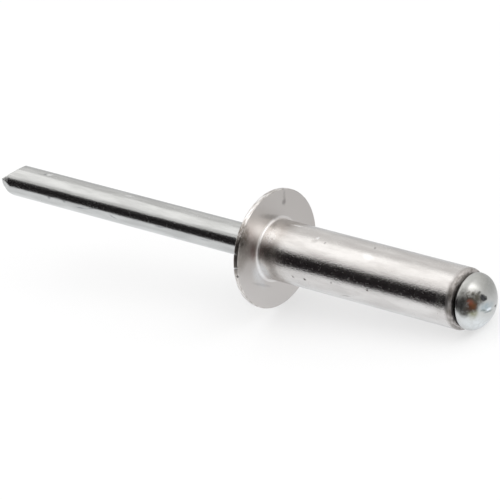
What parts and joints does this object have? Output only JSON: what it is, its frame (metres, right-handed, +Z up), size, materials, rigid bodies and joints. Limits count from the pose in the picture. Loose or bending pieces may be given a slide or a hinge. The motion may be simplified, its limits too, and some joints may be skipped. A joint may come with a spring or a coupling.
{
  "type": "blind rivet",
  "caption": "Dome-head blind rivet, unset: a hollow flanged shank goes into a drilled hole, and the long pointed mandrel through it is pulled to spread the tail and clamp sheets from one side.",
  "frame": {"origin": "on the surface that the rivet lies on, under the middle of its length", "axes": "+X along the length towards the tail and the pull head, +Z up; the rivet's own axis falls 7.34 degrees towards the tail in the XZ plane"},
  "size_m": [0.0487, 0.0094, 0.0095],
  "materials": {
    "drawn_aluminium": "tumbled, satin, with fine pits and scuffs",
    "zinc_plated_steel": "bright zinc plate on drawn wire, with a rust spot and dark stains on the pull head"
  },
  "bodies": {
    "root": {"rivet_body": "drawn_aluminium", "mandrel": "zinc_plated_steel"}
  },
  "joints": []
}
